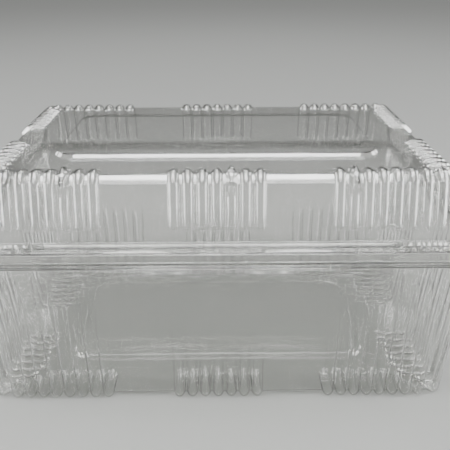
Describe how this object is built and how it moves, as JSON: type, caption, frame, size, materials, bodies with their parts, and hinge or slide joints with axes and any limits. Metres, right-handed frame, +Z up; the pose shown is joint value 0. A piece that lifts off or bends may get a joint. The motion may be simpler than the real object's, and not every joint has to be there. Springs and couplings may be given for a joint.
{
  "type": "plastic clamshell pack",
  "caption": "Clear hinged food pack: a deep drafted tray and a shallow lid, both with fluted edges and a beaded rim, folded together at a rear hinge.",
  "frame": {"origin": "middle of the pack's footprint, on the surface it stands on", "axes": "+X along the long side to the right, +Y towards the hinge at the back, +Z up"},
  "size_m": [0.2026, 0.145, 0.0923],
  "materials": {
    "clear_sheet_tray": "clear glossy thermoformed sheet",
    "clear_sheet_lid": "clear glossy thermoformed sheet"
  },
  "bodies": {
    "tray": {"tray": "clear_sheet_tray"},
    "lid": {"lid": "clear_sheet_lid"}
  },
  "joints": [
    {"name": "lid_hinge", "type": "hinge", "parent": "tray", "child": "lid", "pos_m": [0, 0.0725, 0.06335], "axis": [-1, 0, 0], "range_deg": [0, 180]}
  ]
}
